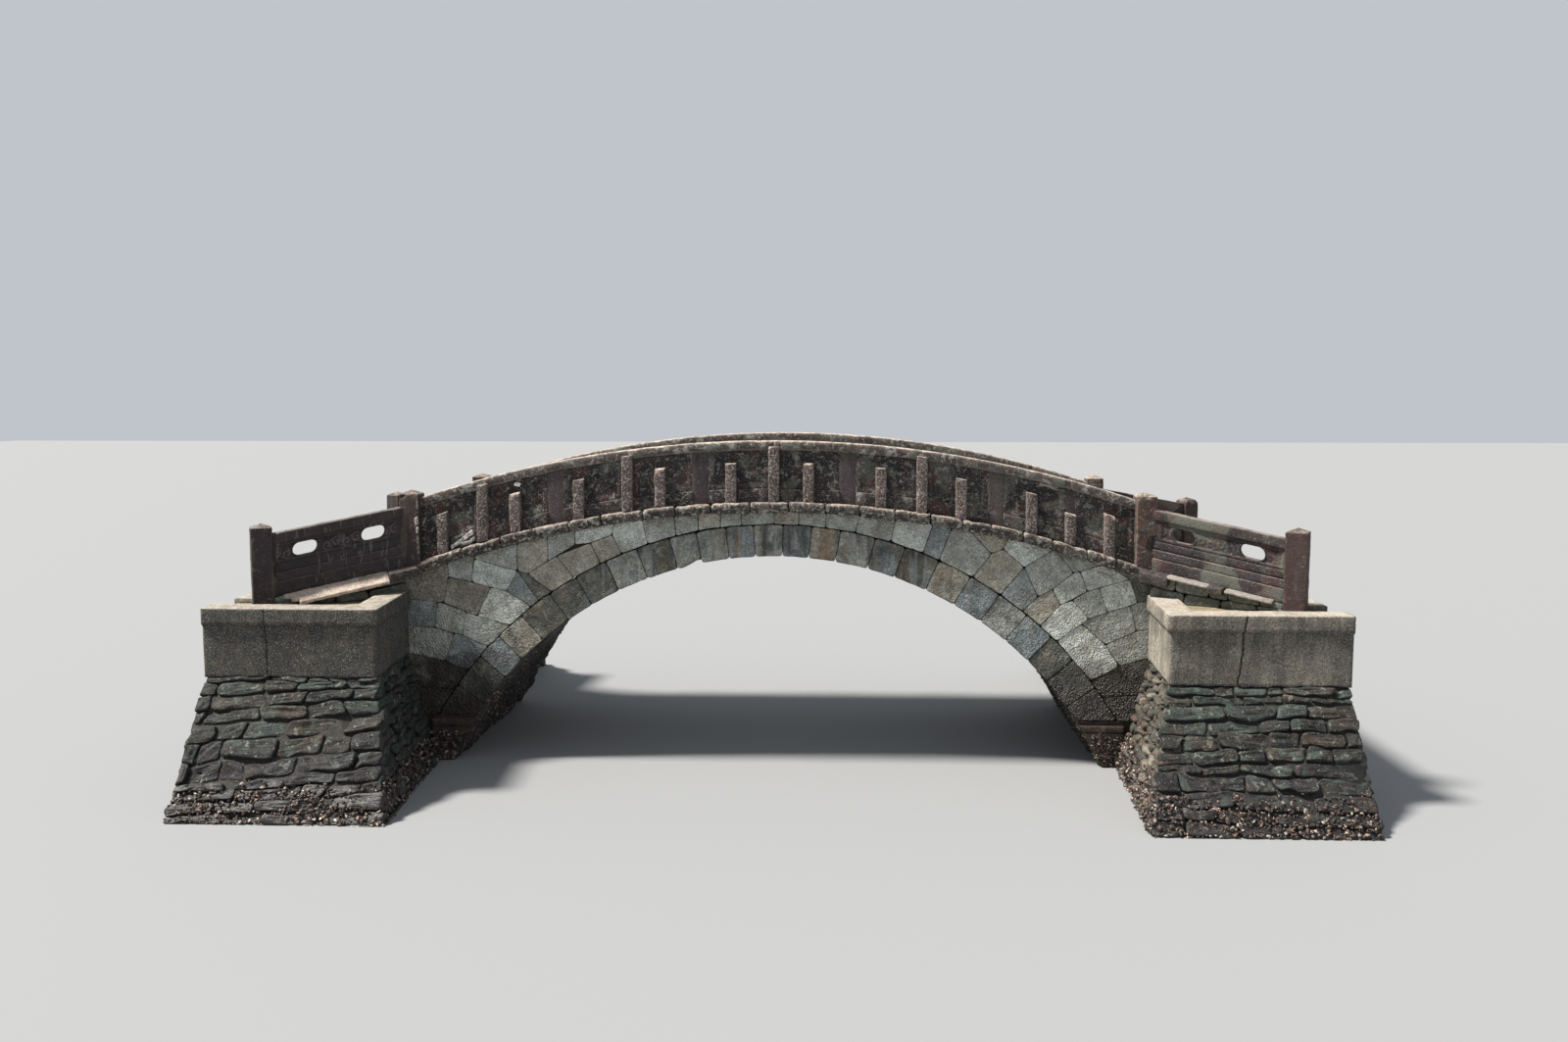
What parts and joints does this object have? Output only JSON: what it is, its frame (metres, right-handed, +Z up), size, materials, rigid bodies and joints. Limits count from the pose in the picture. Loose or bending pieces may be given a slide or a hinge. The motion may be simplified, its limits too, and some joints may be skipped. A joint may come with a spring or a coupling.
{
  "type": "stone moon bridge",
  "caption": "Arched stone footbridge with a cambered roadway, panelled parapets and flared wings, standing between two rubble quays.",
  "frame": {"origin": "centre of the base, at water level, under the crown of the arch", "axes": "+X along the bridge, +Y away from the pictured face, across the channel, +Z up"},
  "size_m": [15.5, 10.04, 4.825],
  "materials": {
    "arch_stone": "split and dressed sandstone, stained",
    "springer_stone": "red-brown stone, wet and weathered",
    "core_rubble": "rough rubble and mortar",
    "spandrel_stone": "dressed sandstone, weathered",
    "string_stone": "chipped and lichened stone",
    "paving_stone": "worn paving stone",
    "post_stone": "purple-brown stone, speckled with lichen",
    "ledge_stone": "pale sawn stone",
    "rail_stone": "dark stone with a pale bevel",
    "strut_stone": "purple-brown stone, speckled with lichen",
    "parapet_stone": "dark red-brown stone with carved relief",
    "concrete": "old concrete, exposed grit",
    "quay_rubble": "flat rubble stone, dark and wet at the foot"
  },
  "bodies": {
    "root": {"arch_vault": "arch_stone", "near_arch_ring": "arch_stone", "far_arch_ring": "arch_stone", "left_springer": "springer_stone", "right_springer": "springer_stone", "left_haunch": "core_rubble", "right_haunch": "core_rubble", "near_spandrel_wall": "spandrel_stone", "far_spandrel_wall": "spandrel_stone", "near_string_course": "string_stone", "far_string_course": "string_stone", "roadway": "paving_stone", "left_approach": "paving_stone", "right_approach": "paving_stone", "near_left_main_post": "post_stone", "near_right_main_post": "post_stone", "far_left_main_post": "post_stone", "far_right_main_post": "post_stone", "near_end_posts": "post_stone", "far_end_posts": "post_stone", "near_sill": "parapet_stone", "far_sill": "parapet_stone", "near_panels": "parapet_stone", "far_panels": "parapet_stone", "near_rail": "rail_stone", "far_rail": "rail_stone", "near_posts": "strut_stone", "far_posts": "strut_stone", "near_left_wing": "parapet_stone", "near_right_wing": "parapet_stone", "far_left_wing": "parapet_stone", "far_right_wing": "parapet_stone", "near_wing_rails": "rail_stone", "far_wing_rails": "rail_stone", "near_wing_kerbs": "ledge_stone", "far_wing_kerbs": "ledge_stone", "near_left_quay_cap": "concrete", "near_right_quay_cap": "concrete", "far_left_quay_cap": "concrete", "far_right_quay_cap": "concrete", "near_left_quay_wall": "quay_rubble", "near_right_quay_wall": "quay_rubble", "far_left_quay_wall": "quay_rubble", "far_right_quay_wall": "quay_rubble"}
  },
  "joints": []
}
